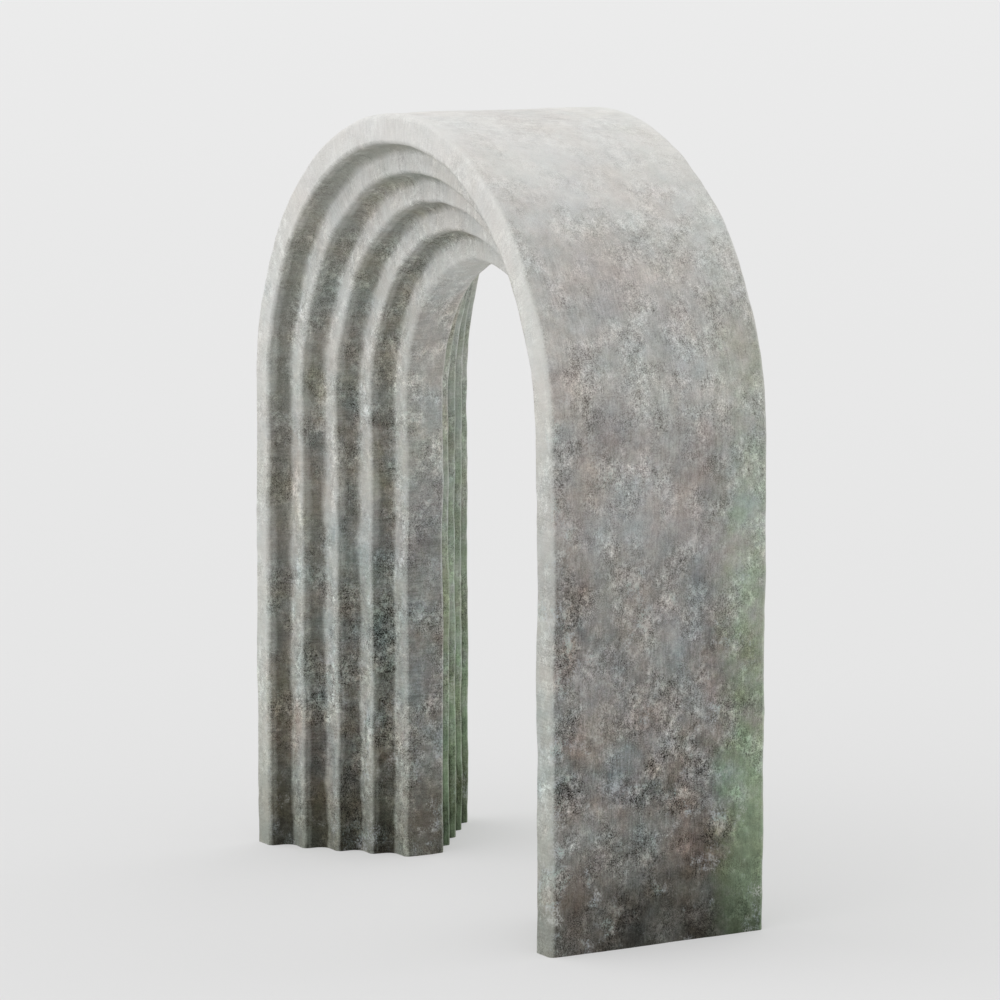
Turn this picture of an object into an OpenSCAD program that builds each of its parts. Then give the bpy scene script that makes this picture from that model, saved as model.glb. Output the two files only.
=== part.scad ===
// Norman arch: a free-standing stone arch of five recessed orders.
// The orders are concentric rings, one inside the other. Each is shallower than
// the ring round it, so both faces step back towards the opening. Every order
// runs without capital or impost from the ground, over the arch and down again,
// so one moulded section is carried up each jamb and round each half of the arch.
// X runs across the opening, Y from front (-) to back (+), Z up from the ground.

/* [Opening] */
// Clear width between the innermost jambs
opening_w = 1210; // [900:2:1800]
// Height of the jambs, from the ground to the springing line
jamb_h = 1872; // [1200:6:2600]

/* [Orders] */
// Width of each order's face, measured along the radius from arris to arris
order_w = 117.5; // [90:0.5:160]
// How far each order's face stands back from the one outside it
order_step = 95.5; // [80:0.5:140]
// Depth of the innermost order, from its front face to its back face
inner_depth = 182; // [120:1:300]

/* [Mouldings] */
// Radius of the rounded arris along each order's inner edge
arris_r = 20; // [6:1:28]
// Radius of the rounded corners at the outside of the arch
outer_arris_r = 22; // [6:1:40]
// Radius of the hollow in the corner between two orders
hollow_r = 45; // [20:1:50]
// How far round the hollow from the face the joint between two orders lies
joint_angle = 55; // [40:1:70]
// Angle at which each reveal leans in towards the opening
reveal_lean = 7; // [0:0.5:9]
// How far the innermost soffit swells at the middle of its depth
soffit_swell = 7.5; // [2:0.5:12]

/* [Hidden] */
stone_colour = "#94938d";
moulding_fn = 24;
sweep_fn = 72;
quarter_turn = 90;
// Hair by which each rounding overruns its sides, so that it runs out in them.
run_out = 0.02;

ORDERS = ["outer", "second", "third", "fourth", "inner"];
SIDES = ["left", "right"];
last = len(ORDERS) - 1;

function node_name(k, side, part) = str(ORDERS[k], "_order_", side, "_", part);

// Order 0 is the outermost and order last is the one at the opening.
// In a section, x is the distance from the middle of the opening, or from the
// arch's centre, and y is the distance from the middle of the depth.
soffit_x = opening_w / 2;
function edge_x(k) = soffit_x + soffit_swell + (last - k) * order_w;
function face_y(k) = inner_depth / 2 + (last - k) * order_step;
function arris_corner(k) = [edge_x(k), face_y(k)];

// The hollow round the outside of order k is one arc that touches its face and
// the leaning reveal of the order outside it.
reveal_foot = hollow_r * [cos(reveal_lean), -sin(reveal_lean)];
function hollow_centre(k) =
    let (
        corner = arris_corner(k - 1),
        y = face_y(k) + hollow_r,
        drop = corner.y - y - reveal_foot.y
    )
    [corner.x - drop * tan(reveal_lean) - reveal_foot.x, y];

// The joint round the outside of order k comes out within that hollow.
// The outermost order ends in the arch's own outer face.
function joint_x(k) =
    k == 0 ? edge_x(0) + order_w : hollow_centre(k).x + hollow_r * sin(joint_angle);

// The soffit is one flat arc.
swell_r = (pow(inner_depth / 2, 2) + pow(soffit_swell, 2)) / (2 * soffit_swell);
swell_centre = [soffit_x + swell_r, 0];

// Centre of the rounded arris between the face and the reveal or soffit.
function arris_centre(k) =
    let (y = face_y(k) - arris_r)
    k < last
        ? [edge_x(k) + arris_r * tan((quarter_turn - reveal_lean) / 2), y]
        : [swell_centre.x - sqrt(pow(swell_r - arris_r, 2) - y * y), y];

// Direction in which the reveal or soffit faces where the arris runs into it.
function arris_end(k) =
    180 - (k < last ? reveal_lean : asin(arris_centre(k).y / (swell_r - arris_r)));

// Corners of the front half of a section, from its inner side to its outer.
function inner_corners(k) =
    k == last
        ? [[soffit_x - soffit_swell, face_y(k)]]
        : let (foot = hollow_centre(k + 1) + reveal_foot)
          [[joint_x(k + 1), foot.y], foot, arris_corner(k)];

function outer_corners(k) =
    k == 0
        ? [[joint_x(0), face_y(0)]]
        : let (centre = hollow_centre(k))
          [[centre.x, face_y(k)], centre, [joint_x(k), centre.y]];

// Both halves of an outline whose front half is given.
function both_halves(front) =
    concat(front, [for (i = [len(front) - 1 : -1 : 0]) [front[i].x, -front[i].y]]);

// What comes off a corner to leave a rounding between two facing directions.
module rounding_waste(centre, r, from, to) {
    reach = 2 * r;
    translate(centre)
        difference() {
            polygon([[0, 0], for (a = [from, (from + to) / 2, to]) reach * [cos(a), sin(a)]]);
            circle(r + run_out, $fn = moulding_fn);
        }
}

// What comes off the innermost order to leave its swelling soffit.
module soffit_waste() {
    difference() {
        translate([soffit_x - 2 * soffit_swell, -inner_depth])
            square([4 * soffit_swell, 2 * inner_depth]);
        translate(swell_centre)
            circle(swell_r, $fn = 8 * moulding_fn);
    }
}

// The hollow in the corner between order k and the one outside it.
module hollow_waste(k) {
    translate(hollow_centre(k))
        circle(hollow_r + run_out, $fn = moulding_fn);
}

// Section of one order, cut square across.
module order_section(k) {
    difference() {
        polygon(both_halves(concat(inner_corners(k), outer_corners(k))));
        for (half = [0, 1])
            mirror([0, half]) {
                rounding_waste(arris_centre(k), arris_r, quarter_turn, arris_end(k));
                if (k == 0)
                    rounding_waste([joint_x(0), face_y(0)] - outer_arris_r * [1, 1],
                        outer_arris_r, 0, quarter_turn);
                if (k > 0)
                    hollow_waste(k);
                if (k < last)
                    hollow_waste(k + 1);
            }
        if (k == last)
            soffit_waste();
    }
}

// Turns what was drawn on the right over to the side named.
module on_side(side) {
    if (side == "left")
        mirror([1, 0, 0]) children();
    else
        children();
}

// One order's upright, from the ground to the springing line.
module order_jamb(k, side) {
    color(stone_colour)
        on_side(side)
            linear_extrude(jamb_h)
                order_section(k);
}

// One order's half of the round arch, from the springing line to the crown.
module order_arch(k, side) {
    color(stone_colour)
        on_side(side)
            translate([0, 0, jamb_h])
                rotate([quarter_turn, 0, 0])
                    rotate_extrude(angle = quarter_turn, $fn = sweep_fn)
                        order_section(k);
}

for (k = [0 : last], side = SIDES) {
    order_jamb(k, side);
    order_arch(k, side);
}
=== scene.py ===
"""Looks of a weathered stone arch of five recessed orders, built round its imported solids."""
import math
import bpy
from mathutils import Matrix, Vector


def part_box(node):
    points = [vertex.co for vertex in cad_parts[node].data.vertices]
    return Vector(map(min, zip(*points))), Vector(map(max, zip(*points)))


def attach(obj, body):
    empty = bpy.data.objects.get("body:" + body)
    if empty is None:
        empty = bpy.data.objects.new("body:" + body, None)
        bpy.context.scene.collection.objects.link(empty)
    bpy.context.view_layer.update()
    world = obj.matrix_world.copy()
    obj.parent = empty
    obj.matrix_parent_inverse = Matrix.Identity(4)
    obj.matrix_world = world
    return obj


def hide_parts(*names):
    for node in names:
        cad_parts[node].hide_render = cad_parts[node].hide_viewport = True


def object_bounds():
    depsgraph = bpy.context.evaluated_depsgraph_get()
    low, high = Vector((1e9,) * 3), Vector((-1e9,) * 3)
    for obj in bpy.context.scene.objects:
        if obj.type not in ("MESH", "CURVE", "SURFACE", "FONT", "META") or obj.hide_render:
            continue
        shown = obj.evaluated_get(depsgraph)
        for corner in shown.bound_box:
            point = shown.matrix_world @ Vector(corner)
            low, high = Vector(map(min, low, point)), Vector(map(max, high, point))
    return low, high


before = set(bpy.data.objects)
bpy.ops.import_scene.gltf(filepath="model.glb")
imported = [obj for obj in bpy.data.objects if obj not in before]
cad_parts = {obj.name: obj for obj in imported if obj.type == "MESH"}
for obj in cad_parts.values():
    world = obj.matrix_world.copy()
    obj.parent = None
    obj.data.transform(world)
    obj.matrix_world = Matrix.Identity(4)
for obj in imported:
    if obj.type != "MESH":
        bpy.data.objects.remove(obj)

from types import SimpleNamespace

import bmesh
import bpy
from mathutils import Matrix, Vector

cad_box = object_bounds()

# ---------------------------------------------------------------- sizes, in metres
ORDERS = ("outer", "second", "third", "fourth", "inner")
SIDES = {"left": -1.0, "right": 1.0}
LAST = len(ORDERS) - 1

# Mouldings of the carved section, as the solids have them.
ARRIS_R = 0.020
OUTER_ARRIS_R = 0.022
HOLLOW_R = 0.045
JOINT_ANGLE = math.radians(55)
REVEAL_LEAN = math.radians(7)
SOFFIT_SWELL = 0.0075

right_jambs = [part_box(f"{order}_order_right_jamb") for order in ORDERS]
JAMB_H = right_jambs[0][1].z
OUTSIDE_X = right_jambs[0][1].x
HALF_DEPTH = right_jambs[0][1].y
SOFFIT_X = right_jambs[LAST][0].x
CROWN_Z = cad_box[1].z
ORDER_W = (OUTSIDE_X - SOFFIT_X - SOFFIT_SWELL) / len(ORDERS)
HOLLOW_RISE = HOLLOW_R * (1 - math.cos(JOINT_ANGLE))
FACE_Y = [HALF_DEPTH] + [high.y - HOLLOW_RISE for low, high in right_jambs[1:]]
JOINT_X = [high.x for low, high in right_jambs] + [SOFFIT_X]

# How far wear has moved the stone, and over what lengths. Below FOOT_GRIP it moves less and less,
# so that the feet stay level on the ground.
WANDER = 0.009
WANDER_SIZE = 0.40
DENT = 0.0038
DENT_SIZE = 0.09
FOOT_GRIP = 0.15
# The outer side stands back by this much, so that the worn stone stays within the solids' box.
WORN_BACK = 0.003

# Spacing of the mesh along the section and along the path.
ARRIS_STEP = 0.0045
FINE_STEP = 0.0075
BROAD_STEP = 0.0115
HIDDEN_STEP = 0.06
PATH_STEP = 0.0105
# Edges that turn by more than this stay sharp.
SHARP_ANGLE = math.radians(50)
# Length of path that the grain counts for half of the arch, whatever the order.
MEAN_ARCH_R = 0.95
ARCH_RUN = MEAN_ARCH_R * math.pi / 2

# A hollow's painted shade and dirt are darkest up to the first angle from the reveal, and gone from
# the second on.
DEEP_TURN, OPEN_TURN = 14, 96
# How much painted shade and dirt the reveal gets from hollow to arris, and the arris from the
# reveal to the face.
REVEAL_SHADE_AND_DIRT = (0.90, 0.48)
ARRIS_SHADE_AND_DIRT = (0.52, 0.19)

FLOOR_R = 110
# The floor lies a little below the feet, so that the two don't flicker.
FLOOR_DROP = 0.0005
# Its shade by distance: 0, 5, 16, 50 and 110 m away.
FLOOR_SHADES = (
    (0.0, "#e1e1e1"), (0.045, "#e6e6e6"), (0.145, "#eaeaea"), (0.45, "#eeeeee"), (1.0, "#f1f1f1"))
BACKDROP = "#ededed"

# Inputs of a map range, and of a mix of numbers, vectors or colours, whose own names repeat.
VALUE, LOW, HIGH, AT_LOW, AT_HIGH = range(5)
SHARE, NUMBER_A, NUMBER_B, VECTOR_A, VECTOR_B, COLOUR_A, COLOUR_B = 0, 2, 3, 4, 5, 6, 7


# ---------------------------------------------------------------- helpers
def colour(hex_code):
    """An sRGB hex colour as linear red, green, blue and alpha."""
    parts = [int(hex_code[i:i + 2], 16) / 255 for i in (1, 3, 5)]
    linear = [p / 12.92 if p <= 0.04045 else ((p + 0.055) / 1.055) ** 2.4 for p in parts]
    return (*linear, 1.0)


def add(tree, kind, inputs=None, stops=None, **settings):
    """Adds a node with its settings. An input is a value, a node's first output or a socket."""
    node = tree.nodes.new(kind)
    for name, value in settings.items():
        setattr(node, name, value)
    for key, value in (inputs or {}).items():
        socket = node.inputs[key]
        if isinstance(value, bpy.types.Node):
            value = next(out for out in value.outputs if out.enabled)
        if isinstance(value, bpy.types.NodeSocket):
            tree.links.new(value, socket)
        else:
            socket.default_value = value
    if stops:
        ramp = node.color_ramp.elements
        for i, (position, shade) in enumerate(stops):
            stop = ramp[i] if i < 2 else ramp.new(position)
            stop.position = position
            stop.color = colour(shade) if isinstance(shade, str) else (shade, shade, shade, 1.0)
    return node


# ---------------------------------------------------------------- the carved section
def line(start, end, step):
    """Points from start towards end, without the end."""
    count = max(1, round((Vector(end) - Vector(start)).length / step))
    return [tuple(Vector(start).lerp(Vector(end), i / count)) for i in range(count)]


def arc(centre, radius, first, final, step):
    """Points round an arc from one angle to another, without the last."""
    count = max(2, round(abs(final - first) * radius / step))
    angles = [first + (final - first) * i / count for i in range(count)]
    return [(centre[0] + radius * math.cos(a), centre[1] + radius * math.sin(a)) for a in angles]


def edge_x(k):
    """Distance of order k's inner edge from the middle of the opening."""
    return SOFFIT_X + SOFFIT_SWELL + (LAST - k) * ORDER_W


def hollow_centre(k):
    """Centre of the hollow between order k and the one outside it."""
    y = FACE_Y[k] + HOLLOW_R
    drop = FACE_Y[k - 1] - y + HOLLOW_R * math.sin(REVEAL_LEAN)
    return edge_x(k - 1) - drop * math.tan(REVEAL_LEAN) - HOLLOW_R * math.cos(REVEAL_LEAN), y


def inner_side(k):
    """Runs of the section from the middle of the depth to the face, each with its kind."""
    if k == LAST:
        swell_r = (FACE_Y[k] ** 2 + SOFFIT_SWELL ** 2) / (2 * SOFFIT_SWELL)
        y = FACE_Y[k] - ARRIS_R
        turn = math.asin(y / (swell_r - ARRIS_R))
        centre = (SOFFIT_X + swell_r - math.sqrt((swell_r - ARRIS_R) ** 2 - y * y), y)
        soffit = arc((SOFFIT_X + swell_r, 0), swell_r, math.pi, math.pi - turn, FINE_STEP)
        arris = arc(centre, ARRIS_R, math.pi - turn, math.pi / 2, ARRIS_STEP)
        return [(soffit, "soffit"), (arris, "arris")]
    hollow = hollow_centre(k + 1)
    joint_turn = math.pi / 2 - JOINT_ANGLE
    nose = (JOINT_X[k + 1], hollow[1] - HOLLOW_R * math.cos(JOINT_ANGLE))
    foot = (hollow[0] + HOLLOW_R * math.cos(REVEAL_LEAN),
            hollow[1] - HOLLOW_R * math.sin(REVEAL_LEAN))
    turn = math.pi / 2 - REVEAL_LEAN
    centre = (edge_x(k) + ARRIS_R * math.tan(turn / 2), FACE_Y[k] - ARRIS_R)
    top = (centre[0] - ARRIS_R * math.cos(REVEAL_LEAN), centre[1] + ARRIS_R * math.sin(REVEAL_LEAN))
    return [
        (line((JOINT_X[k + 1], 0), nose, HIDDEN_STEP), "joint"),
        (arc(hollow, HOLLOW_R, -joint_turn, -REVEAL_LEAN, FINE_STEP), "hollow"),
        (line(foot, top, FINE_STEP), "reveal"),
        (arc(centre, ARRIS_R, math.pi - REVEAL_LEAN, math.pi / 2, ARRIS_STEP), "arris"),
    ]


def outer_side(k):
    """Runs of the section from the face to the middle of the depth on the outer side."""
    if k == 0:
        x, y = OUTSIDE_X - WORN_BACK, FACE_Y[0]
        centre = (x - OUTER_ARRIS_R, y - OUTER_ARRIS_R)
        return [
            (arc(centre, OUTER_ARRIS_R, math.pi / 2, 0, ARRIS_STEP), "outer arris"),
            (line((x, centre[1]), (x, 0), BROAD_STEP), "outside"),
        ]
    hollow = hollow_centre(k)
    nose = (JOINT_X[k], hollow[1] - HOLLOW_R * math.cos(JOINT_ANGLE))
    return [
        (arc(hollow, HOLLOW_R, -math.pi / 2, JOINT_ANGLE - math.pi / 2, FINE_STEP), "hollow"),
        (line(nose, (JOINT_X[k], 0), HIDDEN_STEP), "joint"),
    ]


def front_half(k):
    """The front half of the section of order k: points, each with its run's kind and how far along
    the run it lies."""
    outer = outer_side(k)
    face = line((edge_x(k) + ARRIS_R, FACE_Y[k]), outer[0][0][0], FINE_STEP)
    runs = inner_side(k) + [(face, "face")] + outer
    points = [(p, kind, i / len(run)) for run, kind in runs for i, p in enumerate(run)]
    last_x = JOINT_X[k] - (WORN_BACK if k == 0 else 0)
    return points + [((last_x, 0), outer[-1][1], 1.0)]


def recess_shade_and_dirt_at(k, y, kind, part):
    """How dark the stone is painted with shade and dirt: most of all in the deep of the hollow by
    the reveal, and less and less over the reveal and round the arris to the bare face."""
    if kind == "hollow":
        # An order touches two: one outside its face, and one behind it that the next order shares.
        which = k if y > FACE_Y[k] - 0.0001 else k + 1
        turn = math.degrees(math.asin(min(1.0, (hollow_centre(which)[1] - y) / HOLLOW_R)))
        return max(0.0, min(1.0, (OPEN_TURN - turn) / (OPEN_TURN - DEEP_TURN))) ** 0.75
    if kind == "arris":
        first, final = ARRIS_SHADE_AND_DIRT
        return 0.0 if k == LAST else first + (final - first) * part
    if kind == "reveal":
        first, final = REVEAL_SHADE_AND_DIRT
        return final + (first - final) * (1 - part) ** 2
    return float(kind == "joint")


def section_mesh(k):
    """The whole section as a closed outline, with the marks that the finish reads."""
    front = front_half(k)
    back = [((x, -y), kind, part) for (x, y), kind, part in reversed(front[1:-1])]
    outline = front + back
    count = len(outline)
    mesh = bpy.data.meshes.new(f"{ORDERS[k]}_section")
    mesh.from_pydata([(*point, 0) for point, kind, part in outline],
                     [(i, (i + 1) % count) for i in range(count)], [])
    lengths = [0.0]
    for before, after in zip(outline, outline[1:]):
        lengths.append(lengths[-1] + math.dist(before[0], after[0]))
    # The soffit's mark fades over its arris, and the arrises' own is strongest in their middle.
    marks = {
        # painted shade and dirt, darkest deep in the recesses
        "shelter": [recess_shade_and_dirt_at(k, abs(y), kind, part) for (x, y), kind, part in outline],
        "outside": [{"outside": 1.0, "outer arris": max(0.0, part * 2 - 1)}.get(kind, 0.0)
                    for point, kind, part in outline],
        "soffit": [{"soffit": 1.0, "arris": max(0.0, 1 - part / 0.4) * (k == LAST)}.get(kind, 0.0)
                   for point, kind, part in outline],
        "arris": [max(0.0, 1 - abs(part - 0.5) / 0.35) * ("arris" in kind)
                  for point, kind, part in outline],
        "across": lengths,
    }
    for name, values in marks.items():
        mesh.attributes.new(name, "FLOAT", "POINT").data.foreach_set("value", values)
    return mesh


# ---------------------------------------------------------------- the tree that carries a section
def carrying_tree():
    """Carries a closed section up a jamb or round half an arch, and wears the stone."""
    tree = bpy.data.node_groups.new("carry_section", "GeometryNodeTree")
    for name, kind in (
        ("Section", "Geometry"), ("Base", "Float"), ("Rise", "Float"), ("Turn", "Float"),
        ("Side", "Float"), ("Steps", "Int"), ("Path Start", "Float"), ("Path Length", "Float"),
        ("Wander", "Float"), ("Wander Size", "Float"), ("Dent", "Float"), ("Dent Size", "Float"),
        ("Foot Grip", "Float"), ("Least", "Vector"), ("Most", "Vector"), ("Stone", "Material"),
    ):
        tree.interface.new_socket(name=name, in_out="INPUT", socket_type="NodeSocket" + kind)
    tree.interface.new_socket(name="Stone Piece", in_out="OUTPUT", socket_type="NodeSocketGeometry")
    given = add(tree, "NodeGroupInput").outputs

    # The section keeps its own place and the path its own length as marks on the mesh.
    outline = add(tree, "GeometryNodeMeshToCurve", {"Mesh": given["Section"]})
    place = add(tree, "GeometryNodeInputPosition")
    profile = add(tree, "GeometryNodeStoreNamedAttribute", {
        "Geometry": outline, "Name": "section", "Value": place},
        data_type="FLOAT_VECTOR", domain="POINT")
    rod = add(tree, "GeometryNodeCurvePrimitiveLine", {"End": (0, 0, 1)})
    points = add(tree, "ShaderNodeMath", {0: given["Steps"], 1: 1.0}, operation="ADD")
    stepped = add(tree, "GeometryNodeResampleCurve", {"Curve": rod, "Count": points})
    progress = add(tree, "GeometryNodeSplineParameter")
    path = add(tree, "GeometryNodeStoreNamedAttribute", {
        "Geometry": stepped, "Name": "along", "Value": progress.outputs["Factor"]},
        data_type="FLOAT", domain="POINT")
    swept = add(tree, "GeometryNodeCurveToMesh", {
        "Curve": path, "Profile Curve": profile, "Fill Caps": True})

    # A jamb rises straight, and an arch turns about the springing line.
    along = add(tree, "GeometryNodeInputNamedAttribute", {"Name": "along"}, data_type="FLOAT")
    section = add(tree, "GeometryNodeInputNamedAttribute", {"Name": "section"},
                  data_type="FLOAT_VECTOR")
    at = add(tree, "ShaderNodeSeparateXYZ", {0: section})
    angle = add(tree, "ShaderNodeMath", {0: along, 1: given["Turn"]}, operation="MULTIPLY")
    cosine = add(tree, "ShaderNodeMath", {0: angle}, operation="COSINE")
    sine = add(tree, "ShaderNodeMath", {0: angle}, operation="SINE")
    level = add(tree, "ShaderNodeMath", {0: along, 1: given["Rise"], 2: given["Base"]},
                operation="MULTIPLY_ADD")
    out = add(tree, "ShaderNodeMath", {0: at.outputs["X"], 1: cosine}, operation="MULTIPLY")
    sideways = add(tree, "ShaderNodeMath", {0: out, 1: given["Side"]}, operation="MULTIPLY")
    up = add(tree, "ShaderNodeMath", {0: at.outputs["X"], 1: sine, 2: level},
             operation="MULTIPLY_ADD")
    carried = add(tree, "ShaderNodeCombineXYZ", {"X": sideways, "Y": at.outputs["Y"], "Z": up})
    shaped = add(tree, "GeometryNodeSetPosition", {"Geometry": swept, "Position": carried})

    # Wear is a field in space, so neighbouring pieces still meet. The feet stay level.
    here = add(tree, "GeometryNodeInputPosition")
    shift = None
    for size, reach, detail in (("Wander Size", "Wander", 1.0), ("Dent Size", "Dent", 2.0)):
        scale = add(tree, "ShaderNodeMath", {0: 1.0, 1: given[size]}, operation="DIVIDE")
        noise = add(tree, "ShaderNodeTexNoise", {"Vector": here, "Scale": scale, "Detail": detail})
        centred = add(tree, "ShaderNodeVectorMath", {0: noise.outputs["Color"], 1: (0.5, 0.5, 0.5)},
                      operation="SUBTRACT")
        twice = add(tree, "ShaderNodeMath", {0: given[reach], 1: 2.0}, operation="MULTIPLY")
        part = add(tree, "ShaderNodeVectorMath", {0: centred, "Scale": twice}, operation="SCALE")
        if shift is not None:
            part = add(tree, "ShaderNodeVectorMath", {0: shift, 1: part}, operation="ADD")
        shift = part
    height = add(tree, "ShaderNodeSeparateXYZ", {0: here})
    free = add(tree, "ShaderNodeMath", {0: height.outputs["Z"], 1: given["Foot Grip"]},
               operation="DIVIDE", use_clamp=True)
    grip = add(tree, "ShaderNodeCombineXYZ", {"X": 1.0, "Y": 1.0, "Z": free})
    worn_by = add(tree, "ShaderNodeVectorMath", {0: shift, 1: grip}, operation="MULTIPLY")
    moved = add(tree, "ShaderNodeVectorMath", {0: here, 1: worn_by}, operation="ADD")
    kept = add(tree, "ShaderNodeVectorMath", {0: moved, 1: given["Least"]}, operation="MAXIMUM")
    kept = add(tree, "ShaderNodeVectorMath", {0: kept, 1: given["Most"]}, operation="MINIMUM")
    worn = add(tree, "GeometryNodeSetPosition", {"Geometry": shaped, "Position": kept})

    # The grain follows the path, so the finish is told how far along it lies.
    run = add(tree, "ShaderNodeMath", {0: along, 1: given["Path Length"], 2: given["Path Start"]},
              operation="MULTIPLY_ADD")
    marked = add(tree, "GeometryNodeStoreNamedAttribute", {
        "Geometry": worn, "Name": "run", "Value": run}, data_type="FLOAT", domain="POINT")
    whole = add(tree, "GeometryNodeRealizeInstances", {"Geometry": marked})
    stone = add(tree, "GeometryNodeSetMaterial", {"Geometry": whole, "Material": given["Stone"]})
    add(tree, "NodeGroupOutput", {0: stone})
    return tree


def carve(k, side, part, tree, material):
    """One piece of order k, as a plain closed mesh in its place."""
    name = f"{ORDERS[k]}_order_{side}_{part}"
    holder = bpy.data.objects.new(name + "_stone", section_mesh(k))
    bpy.context.scene.collection.objects.link(holder)
    jamb = part == "jamb"
    length = JAMB_H if jamb else JOINT_X[k] * math.pi / 2
    # The path runs from the left foot over the crown to the right foot.
    half = JAMB_H + ARCH_RUN
    start, end = (0.0, JAMB_H) if jamb else (JAMB_H, half)
    if side == "right":
        start, end = 2 * half - start, 2 * half - end
    values = {
        "Base": 0.0 if jamb else JAMB_H,
        "Rise": JAMB_H if jamb else 0.0,
        "Turn": 0.0 if jamb else math.pi / 2,
        "Side": SIDES[side],
        "Steps": round(length / PATH_STEP),
        "Path Start": start, "Path Length": end - start,
        "Wander": WANDER, "Wander Size": WANDER_SIZE,
        "Dent": DENT, "Dent Size": DENT_SIZE,
        "Foot Grip": FOOT_GRIP, "Stone": material,
        "Least": tuple(cad_box[0]), "Most": tuple(cad_box[1]),
    }
    modifier = holder.modifiers.new("carry", "NODES")
    modifier.node_group = tree
    for item in tree.interface.items_tree:
        if item.in_out == "INPUT" and item.name in values:
            modifier[item.identifier] = values[item.name]
    graph = bpy.context.evaluated_depsgraph_get()
    mesh = bpy.data.meshes.new_from_object(holder.evaluated_get(graph))
    holder.modifiers.remove(modifier)
    holder.data = mesh
    tidy = bmesh.new()
    tidy.from_mesh(mesh)
    bmesh.ops.recalc_face_normals(tidy, faces=tidy.faces)
    tidy.to_mesh(mesh)
    tidy.free()
    for face in mesh.polygons:
        face.use_smooth = True
    mesh.set_sharp_from_angle(angle=SHARP_ANGLE)
    for spare in ("section", "along"):
        if spare in mesh.attributes:
            mesh.attributes.remove(mesh.attributes[spare])
    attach(holder, "root")
    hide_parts(name)


# ---------------------------------------------------------------- the stone's finish
# Heights that are fractions run from the foot to the crown, and all others are metres above the
# ground. Colours by height, paler towards the crown: rain and sun bleach the stone there, and
# painted shade darkens it towards the foot.
BLEACHED_AND_SHADED = (
    (0.016, "#9b9d94"), (0.098, "#b1b2aa"), (0.195, "#c0c2bc"), (0.39, "#cacbc6"),
    (0.57, "#cbcbc6"), (0.70, "#d7d7d2"), (0.895, "#dddcd8"), (1.0, "#e6e5e2"))
# Colours by height in the hollows, for painted shade and for the soot and damp that stay there;
# darker towards the foot.
SHADE_AND_SOOT = (
    (0.016, "#3b3a32"), (0.065, "#4d4b42"), (0.11, "#5e5c55"), (0.195, "#6c6b64"),
    (0.39, "#7c7b74"), (0.586, "#86857e"), (0.80, "#98978e"), (0.977, "#adada4"))
# Crusts of lichen: white, slate blue, teal and a warm grey.
LICHENED = ((0.40, "#d6d7d3"), (0.50, "#c2c8cd"), (0.58, "#b4c6c0"), (0.66, "#d0cdc7"))
# What moss and the flat surfaces' greyer skin make of the stone's red, green and blue.
MOSSED = (1.0, 1.29, 0.93)
PINKER = (1.025, 0.995, 1.04)
# How strong the patterns are on bare stone, and how much of that moss covers.
STRENGTH, MOSS_COVERS = 4.55, 1.7
# Reach of each pattern up and down from the stone's own level. Where rain washes the outer side,
# pale crumbs and dark pits reach as far as each other.
CRUMBS_REACH, PITS_REACH, WASHED_REACH = 2.4, 0.85, 1.5
GRAIN_REACH = 1.25
# The comb marks are long this way: square to the path, or along it.
SQUARE_TO_PATH, ALONG_PATH = (1.0, 0.08, 1.0), (0.12, 1.0, 1.0)
# How much paler a worn arris is, partly wear and partly a painted highlight, and how much smoother
# the right leg's face.
ARRIS_WEAR_AND_HIGHLIGHT = 0.31
LEG_SMOOTHER = 0.35
# A pale crumb is a little bluer than a dark pit.
CRUMB_TINT = (0.98, 1.0, 1.025)
UNCHANGED = (1.0, 1.0, 1.0)
# How strongly the patterns show by height: most at the damp foot, least at the crown.
PATTERNED = (
    (0.0, 0.62), (0.07, 0.68), (0.2, 0.84), (0.42, 0.57), (0.65, 0.52), (0.85, 0.34), (1.0, 0.16))
# The same by how dark the dirt and the painted shade make the stone.
SHOWN_BY_DIRT_AND_SHADE = ((0.0, 0.25), (0.12, 0.41), (0.35, 0.64), (0.6, 0.63), (0.8, 0.71), (1.0, 1.0))
# How much of the dirt stays along the back edge of the outer side by height.
RINSED = (
    (0.0, 0.95), (0.06, 0.78), (0.18, 0.84), (0.24, 1.0), (0.33, 1.0), (0.4, 0.75), (0.48, 0.61),
    (0.55, 0.69), (0.62, 0.91), (0.75, 0.90), (0.85, 0.84))
# Patterns of the skin by the real size of their marks, with their detail and roughness. The finest
# grain is about 1 mm in such stone and is drawn at 4 mm, so that it shows.
PATTERNS = {
    "stain": (0.36, 3.0, 0.6), "cloud": (0.11, 4.0, 0.7), "patch": (0.13, 2.0, 0.5),
    "crumble": (0.045, 4.0, 0.85), "grain": (0.0045, 1.5, 0.6), "comb": (0.008, 2.0, 0.6),
    "tint": (0.24, 5.0, 0.65), "lichen": (0.17, 5.0, 0.7), "speck": (0.0065, 1.0, 0.5),
}
# How far the two broadest vary the dirt and painted shade, and how much of that shows on bare
# faces.
BLOTCHES = (("stain", 1.1), ("cloud", 0.7))
ON_BARE_FACES = 0.55
# Faint tints: broad ones from rusty brown to slate blue and from rose to teal, and small ones from
# green to rose. Each is a pattern, its channel, and its reach in red, green and blue.
TINTS = (
    ("tint", "X", (0.24, 0.0, -0.18)),
    ("tint", "Y", (-0.11, 0.07, 0.03)),
    ("crumble", "Z", (0.0, 0.06, 0.0)),
)


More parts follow.
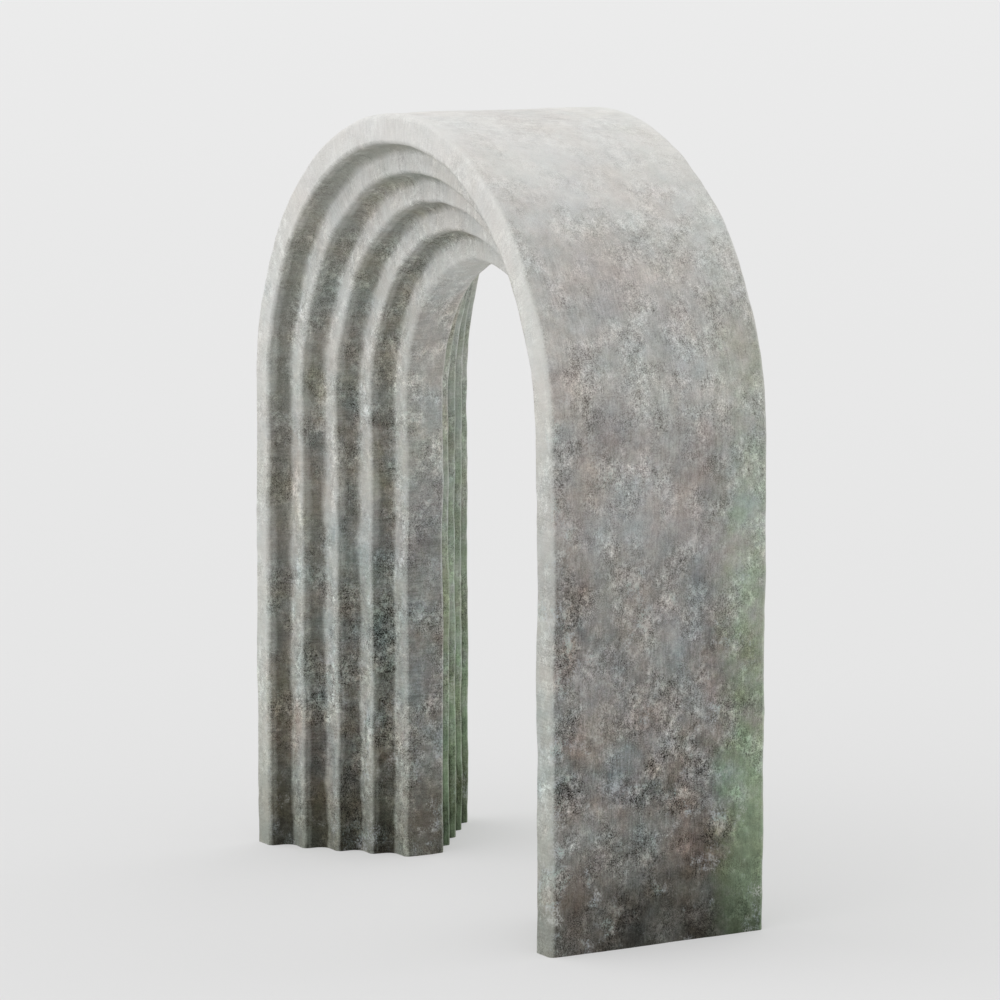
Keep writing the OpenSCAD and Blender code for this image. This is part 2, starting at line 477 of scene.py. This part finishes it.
def read_place(tree):
    """What the finish knows of each spot: where it lies, how it faces and the marks it carries."""
    spot = add(tree, "ShaderNodeTexCoord").outputs["Object"]
    at = add(tree, "ShaderNodeSeparateXYZ", {0: spot}).outputs
    normal = add(tree, "ShaderNodeNewGeometry").outputs["Normal"]
    upward = add(tree, "ShaderNodeSeparateXYZ", {0: normal}).outputs["Z"]
    place = SimpleNamespace(spot=spot, x=at["X"], y=at["Y"], z=at["Z"], upward=upward)
    # The first of these marks is painted shade and dirt in the recesses.
    for mark in ("shelter", "outside", "soffit", "arris", "across", "run"):
        setattr(place, mark, add(tree, "ShaderNodeAttribute", attribute_name=mark).outputs["Fac"])
    place.height = add(tree, "ShaderNodeMath", {0: place.z, 1: CROWN_Z}, operation="DIVIDE")
    place.depth = add(tree, "ShaderNodeMath", {0: place.y}, operation="ABSOLUTE")
    # 1 on upright stone, 0 where it lies open to the sky.
    place.upright = add(tree, "ShaderNodeMapRange", {
        VALUE: upward, LOW: 0.55, HIGH: 0.97, AT_LOW: 1.0, AT_HIGH: 0.0},
        interpolation_type="SMOOTHSTEP")
    # 1 on what steps back behind, 0 in front.
    place.behind = add(tree, "ShaderNodeMapRange", {VALUE: place.y, LOW: 0.07, HIGH: 0.13},
                       interpolation_type="SMOOTHSTEP")
    # 1 on all orders but the outermost, whose face is 0.
    place.recessed = add(tree, "ShaderNodeMapRange", {
        VALUE: place.depth, LOW: HALF_DEPTH - 0.03, HIGH: HALF_DEPTH - 0.08})
    # 1 on the face of the outermost order's right leg, and on the outer side by it.
    place.right_leg = add(tree, "ShaderNodeMapRange", {VALUE: place.x, LOW: 1.04, HIGH: 1.09})
    return place


def stone_patterns(tree, place):
    """The patterns of the skin by name, each as a noise."""
    # The mason's comb leaves fine marks square to the path in the mouldings and over the crown,
    # and rain leaves them along the path down the outer side.
    laid = add(tree, "ShaderNodeCombineXYZ", {"X": place.run, "Y": place.across})
    runs_down = add(tree, "ShaderNodeMath", {0: place.outside, 1: place.upright},
                    operation="MULTIPLY")
    lie = add(tree, "ShaderNodeMix", {
        SHARE: runs_down, VECTOR_A: SQUARE_TO_PATH, VECTOR_B: ALONG_PATH}, data_type="VECTOR")
    combed = add(tree, "ShaderNodeVectorMath", {0: laid, 1: lie}, operation="MULTIPLY")
    # Rain draws the crumbs out a little.
    drawn = add(tree, "ShaderNodeVectorMath", {0: place.spot, 1: (1.0, 1.0, 0.9)},
                operation="MULTIPLY")
    laid_out = {"crumble": drawn, "grain": drawn, "comb": combed}
    return {
        name: add(tree, "ShaderNodeTexNoise", {
            "Vector": laid_out.get(name, place.spot), "Scale": 1 / size, "Detail": detail,
            "Roughness": roughness}, noise_dimensions="3D")
        for name, (size, detail, roughness) in PATTERNS.items()
    }


def lay_dirt_and_shade(tree, place, noise):
    """How dark each spot is, partly dirt and partly painted shade in the recesses, from its run of
    the section, its height and its slope.
    """
    # The painted shade and dirt in the mouldings are stronger in front than behind.
    stronger_in_front = add(tree, "ShaderNodeMapRange", {VALUE: place.behind, AT_LOW: 1.2, AT_HIGH: 1.0})
    # Above the foot the painted shade and dirt reach further out of the hollows.
    spreading = add(tree, "ShaderNodeMapRange", {
        VALUE: place.z, LOW: 0.6, HIGH: 1.0, AT_LOW: 1.0, AT_HIGH: 0.86})
    moulding = add(tree, "ShaderNodeMath", {0: place.shelter, 1: spreading}, operation="POWER")
    # Its edge is fairly sharp, and wanders a little.
    moulding = add(tree, "ShaderNodeMath", {0: noise["patch"], 1: 0.4, 2: moulding},
                   operation="MULTIPLY_ADD")
    moulding = add(tree, "ShaderNodeMapRange", {VALUE: moulding, LOW: 0.30, HIGH: 1.12},
                   interpolation_type="SMOOTHSTEP")
    moulding = add(tree, "ShaderNodeMath", {0: moulding, 1: stronger_in_front}, operation="MULTIPLY")
    # The mouldings' painted shade and dirt grow stronger towards the foot.
    stronger_low = add(tree, "ShaderNodeMapRange", {
        VALUE: place.z, LOW: 0.1, HIGH: 1.4, AT_LOW: 1.4, AT_HIGH: 1.0})
    moulding = add(tree, "ShaderNodeMath", {0: moulding, 1: stronger_low}, operation="MULTIPLY")

    outer_side = add(tree, "ShaderNodeMapRange", {
        VALUE: place.z, LOW: 1.2, HIGH: 2.6, AT_LOW: 0.755, AT_HIGH: 0.46})
    outer_side = add(tree, "ShaderNodeMath", {0: outer_side, 1: place.upright},
                     operation="MULTIPLY")
    outer_side = add(tree, "ShaderNodeMath", {0: outer_side, 1: place.outside},
                     operation="MULTIPLY")
    rinsed = add(tree, "ShaderNodeValToRGB", {0: place.height}, stops=RINSED)
    rinsed = add(tree, "ShaderNodeMix", {SHARE: place.back_edge, NUMBER_A: 1.0, NUMBER_B: rinsed},
                 data_type="FLOAT")
    outer_side = add(tree, "ShaderNodeMath", {0: outer_side, 1: rinsed}, operation="MULTIPLY")

    soffit = add(tree, "ShaderNodeMapRange", {
        VALUE: place.z, LOW: 1.25, HIGH: 1.7, AT_LOW: 0.67, AT_HIGH: 0.38})
    under_crown = add(tree, "ShaderNodeMapRange", {
        VALUE: place.z, LOW: 2.2, HIGH: 2.47, AT_LOW: 1.0, AT_HIGH: 0.1})
    soffit = add(tree, "ShaderNodeMath", {0: soffit, 1: under_crown}, operation="MULTIPLY")
    soffit = add(tree, "ShaderNodeMath", {0: soffit, 1: place.soffit}, operation="MULTIPLY")

    low = add(tree, "ShaderNodeMapRange", {
        VALUE: place.z, LOW: 1.0, HIGH: 1.9, AT_LOW: 0.33, AT_HIGH: 0.11})
    inner_faces = add(tree, "ShaderNodeMath", {0: place.recessed, 1: low}, operation="MULTIPLY")
    # The face of the right leg is darker than the rest of the outermost order's, partly dirt and
    # partly painted shade.
    leg = add(tree, "ShaderNodeMapRange", {
        VALUE: place.z, LOW: 1.0, HIGH: 2.6, AT_LOW: 0.22, AT_HIGH: 0.06})
    leg = add(tree, "ShaderNodeMath", {0: place.right_leg, 1: leg}, operation="MULTIPLY")

    dirt_and_shade = moulding
    for other in (outer_side, soffit, inner_faces, leg):
        dirt_and_shade = add(tree, "ShaderNodeMath", {0: dirt_and_shade, 1: other}, operation="MAXIMUM")
    # All of it is darker just above the ground.
    darker_at_ground = add(tree, "ShaderNodeMapRange", {
        VALUE: place.z, LOW: 0.0, HIGH: 0.22, AT_LOW: 1.12, AT_HIGH: 1.0})
    dirt_and_shade = add(tree, "ShaderNodeMath", {0: dirt_and_shade, 1: darker_at_ground}, operation="MULTIPLY")
    for name, reach in BLOTCHES:
        centred = add(tree, "ShaderNodeMath", {0: noise[name], 1: 0.5}, operation="SUBTRACT")
        # Bare faces are blotched less than sheltered ones.
        share = add(tree, "ShaderNodeMapRange", {
            VALUE: dirt_and_shade, LOW: 0.0, HIGH: 0.6, AT_LOW: reach * ON_BARE_FACES, AT_HIGH: reach})
        dirt_and_shade = add(tree, "ShaderNodeMath", {0: centred, 1: share, 2: dirt_and_shade},
                   operation="MULTIPLY_ADD", use_clamp=True)
    return dirt_and_shade


def grow_moss(tree, place, noise, dirt_and_shade):
    """How mossy each spot is: most along the back edge of the outer side and on all that steps back
    behind, and low down."""
    where = add(tree, "ShaderNodeMix", {
        SHARE: place.outside, NUMBER_A: place.behind, NUMBER_B: place.back_edge}, data_type="FLOAT")
    low = add(tree, "ShaderNodeMapRange", {
        VALUE: place.z, LOW: 2.5, HIGH: 0.1, AT_LOW: 0.05, AT_HIGH: 1.0})
    moss = add(tree, "ShaderNodeMath", {0: where, 1: low}, operation="MULTIPLY")
    in_hollows = add(tree, "ShaderNodeMapRange", {
        VALUE: noise["tint"], LOW: 0.52, HIGH: 0.66, AT_LOW: 0.0, AT_HIGH: 0.15})
    in_hollows = add(tree, "ShaderNodeMath", {0: in_hollows, 1: place.shelter},
                     operation="MULTIPLY")
    moss = add(tree, "ShaderNodeMath", {0: moss, 1: in_hollows}, operation="MAXIMUM")
    at_foot = add(tree, "ShaderNodeMapRange", {
        VALUE: place.z, LOW: 0.1, HIGH: 0.8, AT_LOW: 0.7, AT_HIGH: 0.0})
    spread = add(tree, "ShaderNodeMapRange", {
        VALUE: noise["cloud"], LOW: 0.35, HIGH: 0.62, AT_LOW: 0.25, AT_HIGH: 1.3})
    spread = add(tree, "ShaderNodeMath", {0: spread, 1: at_foot}, operation="ADD")
    moss = add(tree, "ShaderNodeMath", {0: moss, 1: spread}, operation="MULTIPLY", use_clamp=True)
    damp = add(tree, "ShaderNodeMapRange", {
        VALUE: dirt_and_shade, LOW: 0.0, HIGH: 0.5, AT_LOW: 0.4, AT_HIGH: 1.0})
    return add(tree, "ShaderNodeMath", {0: moss, 1: damp}, operation="MULTIPLY")


def pattern_strength(tree, place, dirt_and_shade, moss):
    """How strongly the skin's patterns show, which is less on clean stone and under moss."""
    strength = add(tree, "ShaderNodeValToRGB", {0: place.height}, stops=PATTERNED)
    by_dirt_and_shade = add(tree, "ShaderNodeValToRGB", {0: dirt_and_shade}, stops=SHOWN_BY_DIRT_AND_SHADE)
    strength = add(tree, "ShaderNodeMath", {0: strength, 1: by_dirt_and_shade}, operation="MULTIPLY")
    bare = add(tree, "ShaderNodeMath", {0: moss, 1: -MOSS_COVERS, 2: STRENGTH},
               operation="MULTIPLY_ADD")
    strength = add(tree, "ShaderNodeMath", {0: strength, 1: bare}, operation="MULTIPLY")
    # The face of the right leg is smoother than the others, and the outer hollows than the inner.
    smooth = add(tree, "ShaderNodeMath", {0: place.right_leg, 1: place.outside},
                 operation="SUBTRACT", use_clamp=True)
    smooth = add(tree, "ShaderNodeMath", {0: smooth, 1: LEG_SMOOTHER}, operation="MULTIPLY")
    rubbed = add(tree, "ShaderNodeMapRange", {
        VALUE: place.depth, LOW: 0.20, HIGH: 0.42, AT_LOW: 0.0, AT_HIGH: 0.42})
    rubbed = add(tree, "ShaderNodeMath", {0: rubbed, 1: place.shelter}, operation="MULTIPLY")
    smooth = add(tree, "ShaderNodeMath", {0: smooth, 1: rubbed}, operation="MAXIMUM")
    rough = add(tree, "ShaderNodeMath", {0: 1.0, 1: smooth}, operation="SUBTRACT")
    return add(tree, "ShaderNodeMath", {0: strength, 1: rough}, operation="MULTIPLY")


def crumbled_skin(tree, place, noise, strength):
    """How much lighter or darker each spot is for its crumbs, pits, grain and comb marks."""
    # Pale crumbs stand out more than dark pits, though not where rain washes the top.
    centred = add(tree, "ShaderNodeMath", {0: noise["crumble"], 1: 0.5}, operation="SUBTRACT")
    washed = add(tree, "ShaderNodeMapRange", {VALUE: place.height, LOW: 0.5, HIGH: 0.75})
    washed = add(tree, "ShaderNodeMath", {0: washed, 1: place.outside}, operation="MULTIPLY")
    crumbs = add(tree, "ShaderNodeMapRange", {
        VALUE: washed, AT_LOW: CRUMBS_REACH, AT_HIGH: WASHED_REACH})
    crumbs = add(tree, "ShaderNodeMath", {0: centred, 1: crumbs}, operation="MULTIPLY")
    pits = add(tree, "ShaderNodeMapRange", {
        VALUE: washed, AT_LOW: PITS_REACH, AT_HIGH: WASHED_REACH})
    pits = add(tree, "ShaderNodeMath", {0: centred, 1: pits}, operation="MULTIPLY")
    level = add(tree, "ShaderNodeMath", {0: crumbs, 1: pits}, operation="MAXIMUM")
    centred = add(tree, "ShaderNodeMath", {0: noise["grain"], 1: 0.5}, operation="SUBTRACT")
    level = add(tree, "ShaderNodeMath", {0: centred, 1: GRAIN_REACH, 2: level},
                operation="MULTIPLY_ADD")
    # Both are strong in some patches and faint in others.
    coarse = add(tree, "ShaderNodeMapRange", {
        VALUE: noise["patch"], LOW: 0.38, HIGH: 0.64, AT_LOW: 0.45, AT_HIGH: 1.4},
        interpolation_type="SMOOTHSTEP")
    level = add(tree, "ShaderNodeMath", {0: level, 1: coarse}, operation="MULTIPLY")
    centred = add(tree, "ShaderNodeMath", {0: noise["comb"], 1: 0.5}, operation="SUBTRACT")
    ridged = add(tree, "ShaderNodeMapRange", {
        VALUE: place.height, LOW: 0.75, HIGH: 1.0, AT_LOW: 0.4, AT_HIGH: 1.15})
    level = add(tree, "ShaderNodeMath", {0: centred, 1: ridged, 2: level}, operation="MULTIPLY_ADD")
    return add(tree, "ShaderNodeMath", {0: level, 1: strength}, operation="MULTIPLY")


def grow_lichen(tree, place, noise):
    """How far lichen covers each spot, in soft pale crusts of small flecks, most of all on arrises
    and along the front edge of the outer side."""
    crust = add(tree, "ShaderNodeMath", {0: place.arris, 1: 0.07, 2: noise["lichen"]},
                operation="MULTIPLY_ADD")
    rim = add(tree, "ShaderNodeMapRange", {
        VALUE: place.y, LOW: 0.09 - HALF_DEPTH, HIGH: 0.01 - HALF_DEPTH, AT_LOW: 0.0, AT_HIGH: 0.1})
    rim = add(tree, "ShaderNodeMath", {0: rim, 1: place.outside}, operation="MULTIPLY")
    crust = add(tree, "ShaderNodeMath", {0: crust, 1: rim}, operation="ADD")
    crust = add(tree, "ShaderNodeMapRange", {VALUE: crust, LOW: 0.52, HIGH: 0.66},
                interpolation_type="SMOOTHSTEP")
    flecks = add(tree, "ShaderNodeMath", {0: noise["crumble"], 1: noise["speck"]}, operation="ADD")
    flecks = add(tree, "ShaderNodeMapRange", {VALUE: flecks, LOW: 0.85, HIGH: 1.25},
                 interpolation_type="SMOOTHSTEP")
    growth = add(tree, "ShaderNodeMapRange", {
        VALUE: place.height, LOW: 0.42, HIGH: 0.86, AT_LOW: 0.78, AT_HIGH: 0.0})
    open_air = add(tree, "ShaderNodeMath", {0: place.shelter, 1: -0.7, 2: 1.0},
                   operation="MULTIPLY_ADD")
    growth = add(tree, "ShaderNodeMath", {0: growth, 1: open_air}, operation="MULTIPLY")
    lichen = add(tree, "ShaderNodeMath", {0: crust, 1: growth}, operation="MULTIPLY")
    return add(tree, "ShaderNodeMath", {0: lichen, 1: flecks}, operation="MULTIPLY")


def weathered_stone():
    """Fine-grained limestone, carved and left outdoors: quite matt, bleached where rain runs over
    it, brown and painted dark with shade in its hollows and towards the foot, with a
    salt-and-pepper grain, lichen specks and moss at the back.
    """
    material = bpy.data.materials.new("weathered_limestone")
    material.use_nodes = True
    tree = material.node_tree
    shader = tree.nodes["Principled BSDF"]
    shader.inputs["Roughness"].default_value = 0.92
    shader.inputs["Specular IOR Level"].default_value = 0.25

    place = read_place(tree)
    noise = stone_patterns(tree, place)
    # 1 along the back edge of the outer side, with a ragged front.
    ragged = add(tree, "ShaderNodeMath", {0: noise["cloud"], 1: 0.16, 2: place.y},
                 operation="MULTIPLY_ADD")
    place.back_edge = add(tree, "ShaderNodeMapRange", {VALUE: ragged, LOW: 0.275, HIGH: 0.46},
                          interpolation_type="SMOOTHSTEP")
    dirt_and_shade = lay_dirt_and_shade(tree, place, noise)
    moss = grow_moss(tree, place, noise, dirt_and_shade)
    strength = pattern_strength(tree, place, dirt_and_shade, moss)
    lichen = grow_lichen(tree, place, noise)

    bleached_and_shaded = add(tree, "ShaderNodeValToRGB", {0: place.height}, stops=BLEACHED_AND_SHADED)
    shade_and_soot = add(tree, "ShaderNodeValToRGB", {0: place.height}, stops=SHADE_AND_SOOT)
    # The dark colour stands for both dirt and painted shade.
    stone = add(tree, "ShaderNodeMix", {SHARE: dirt_and_shade, COLOUR_A: bleached_and_shaded, COLOUR_B: shade_and_soot},
                data_type="RGBA")
    # The flat outer side and the soffit are greyer and pinker than the mouldings.
    flat = add(tree, "ShaderNodeMath", {0: place.soffit, 1: 0.7, 2: place.outside},
               operation="MULTIPLY_ADD")
    flat = add(tree, "ShaderNodeMath", {0: flat, 1: dirt_and_shade}, operation="MULTIPLY")
    pinker = add(tree, "ShaderNodeVectorMath", {0: stone, 1: PINKER}, operation="MULTIPLY")
    stone = add(tree, "ShaderNodeMix", {SHARE: flat, COLOUR_A: stone, COLOUR_B: pinker},
                data_type="RGBA")
    green = add(tree, "ShaderNodeVectorMath", {0: stone, 1: MOSSED}, operation="MULTIPLY")
    stone = add(tree, "ShaderNodeMix", {SHARE: moss, COLOUR_A: stone, COLOUR_B: green},
                data_type="RGBA")

    level = crumbled_skin(tree, place, noise, strength)
    factor = add(tree, "ShaderNodeVectorMath", {0: level, 1: CRUMB_TINT, 2: UNCHANGED},
                 operation="MULTIPLY_ADD")
    stone = add(tree, "ShaderNodeVectorMath", {0: stone, 1: factor}, operation="MULTIPLY")
    for name, channel, reach in TINTS:
        tinted = add(tree, "ShaderNodeSeparateXYZ", {0: noise[name].outputs["Color"]})
        centred = add(tree, "ShaderNodeMath", {0: tinted.outputs[channel], 1: 0.5},
                      operation="SUBTRACT")
        centred = add(tree, "ShaderNodeMath", {0: centred, 1: strength}, operation="MULTIPLY")
        hint = add(tree, "ShaderNodeVectorMath", {0: centred, 1: reach, 2: UNCHANGED},
                   operation="MULTIPLY_ADD")
        stone = add(tree, "ShaderNodeVectorMath", {0: stone, 1: hint}, operation="MULTIPLY")
    hue = add(tree, "ShaderNodeValToRGB", {0: noise["patch"]}, stops=LICHENED)
    stone = add(tree, "ShaderNodeMix", {SHARE: lichen, COLOUR_A: stone, COLOUR_B: hue},
                data_type="RGBA")

    # A worn arris is paler, partly for wear and partly as a painted highlight, most of all where
    # the stone round it is dark, but less on its underside round the inner orders, where painted
    # shade stays.
    underside = add(tree, "ShaderNodeMapRange", {
        VALUE: place.upward, LOW: -0.1, HIGH: -0.6, AT_LOW: 0.0, AT_HIGH: 0.3})
    underside = add(tree, "ShaderNodeMath", {0: underside, 1: place.recessed}, operation="MULTIPLY")
    worn = add(tree, "ShaderNodeMath", {0: ARRIS_WEAR_AND_HIGHLIGHT, 1: underside}, operation="SUBTRACT")
    worn = add(tree, "ShaderNodeMath", {0: worn, 1: place.arris}, operation="MULTIPLY")
    stone = add(tree, "ShaderNodeMix", {SHARE: worn, COLOUR_A: stone, COLOUR_B: bleached_and_shaded},
                data_type="RGBA")
    tree.links.new(next(out for out in stone.outputs if out.enabled), shader.inputs["Base Color"])

    # The crumbled skin and the grain stand up from the surface by about a millimetre.
    relief = add(tree, "ShaderNodeMath", {0: noise["crumble"], 1: noise["grain"]}, operation="ADD")
    rained = add(tree, "ShaderNodeMapRange", {
        VALUE: place.height, LOW: 0.7, HIGH: 1.0, AT_LOW: 1.0, AT_HIGH: 1.8})
    relief = add(tree, "ShaderNodeMath", {0: relief, 1: rained}, operation="MULTIPLY")
    bump = add(tree, "ShaderNodeBump", {"Height": relief, "Strength": 0.6, "Distance": 0.006})
    tree.links.new(bump.outputs[0], shader.inputs["Normal"])
    return material


# ---------------------------------------------------------------- making
stone = weathered_stone()
carrying = carrying_tree()
for k in range(len(ORDERS)):
    for side in SIDES:
        for part in ("jamb", "arch"):
            carve(k, side, part, carrying, stone)


# ---------------------------------------------------------------- floor, light and camera
def seen_ray(tree):
    """1 for what the camera sees straight or in a gloss, 0 for what lights the object."""
    path = add(tree, "ShaderNodeLightPath").outputs
    return add(tree, "ShaderNodeMath", {0: path["Is Camera Ray"], 1: path["Is Glossy Ray"]},
               operation="MAXIMUM")


def pale_floor():
    """A wide matt studio floor, paler into the distance, that keeps a soft part of the shadows."""
    mesh = bpy.data.meshes.new("studio_floor")
    ring = bmesh.new()
    bmesh.ops.create_circle(ring, cap_ends=True, segments=96, radius=FLOOR_R,
                            matrix=Matrix.Translation((0, 0, -FLOOR_DROP)))
    ring.to_mesh(mesh)
    ring.free()
    floor = bpy.data.objects.new("studio_floor", mesh)
    bpy.context.scene.collection.objects.link(floor)
    material = bpy.data.materials.new("matt_studio_floor")
    material.use_nodes = True
    tree = material.node_tree
    tree.nodes.clear()
    spot = add(tree, "ShaderNodeTexCoord").outputs["Object"]
    away = add(tree, "ShaderNodeVectorMath", {0: spot}, operation="LENGTH").outputs["Value"]
    away = add(tree, "ShaderNodeMath", {0: away, 1: FLOOR_R}, operation="DIVIDE")
    pale = add(tree, "ShaderNodeValToRGB", {0: away}, stops=FLOOR_SHADES)
    matt = add(tree, "ShaderNodeBsdfDiffuse", {"Color": colour("#dfdfdf")})
    glow = add(tree, "ShaderNodeEmission", {"Color": pale})
    share = add(tree, "ShaderNodeMath", {0: seen_ray(tree), 1: 0.5}, operation="MULTIPLY")
    both = add(tree, "ShaderNodeMixShader", {0: share, 1: matt, 2: glow})
    add(tree, "ShaderNodeOutputMaterial", {"Surface": both})
    mesh.materials.append(material)


def studio_light():
    """An even pale surround, a soft lamp high in front and a weaker one high behind."""
    world = bpy.data.worlds.new("studio_surround")
    bpy.context.scene.world = world
    world.use_nodes = True
    tree = world.node_tree
    tree.nodes.clear()
    surround = add(tree, "ShaderNodeBackground", {"Color": (1, 1, 1, 1), "Strength": 0.68})
    backdrop = add(tree, "ShaderNodeBackground", {"Color": colour(BACKDROP), "Strength": 1.0})
    both = add(tree, "ShaderNodeMixShader", {0: seen_ray(tree), 1: surround, 2: backdrop})
    add(tree, "ShaderNodeOutputWorld", {"Surface": both})
    for name, energy, spread, direction in (
        ("soft_key", 1.2, 80, (0.25, 0.85, -1.0)), ("soft_rim", 0.5, 60, (0.30, -0.95, -0.85)),
    ):
        lamp = bpy.data.lights.new(name, "SUN")
        lamp.energy = energy
        lamp.angle = math.radians(spread)
        holder = bpy.data.objects.new(name, lamp)
        bpy.context.scene.collection.objects.link(holder)
        holder.rotation_euler = Vector(direction).to_track_quat("-Z", "Y").to_euler()


def camera():
    """A long lens from the right of the front, a little above the middle of the arch."""
    turn, rise, distance = math.radians(60.1), math.radians(7.95), 18.384
    middle = Vector((0, 0, 0.5007 * CROWN_Z))
    level = math.cos(rise)
    back = Vector((math.sin(turn) * level, -math.cos(turn) * level, math.sin(rise)))
    right = Vector((math.cos(turn), math.sin(turn), 0))
    up = back.cross(right)
    view = bpy.data.cameras.new("view")
    view.lens = 168.4
    view.sensor_width = 36.0
    view.clip_end = 400
    eye = bpy.data.objects.new("view", view)
    bpy.context.scene.collection.objects.link(eye)
    eye.location = middle + back * distance
    eye.rotation_euler = Matrix((right, up, back)).transposed().to_euler()
    bpy.context.scene.camera = eye


pale_floor()
studio_light()
camera()
bpy.context.scene.view_settings.view_transform = "Standard"
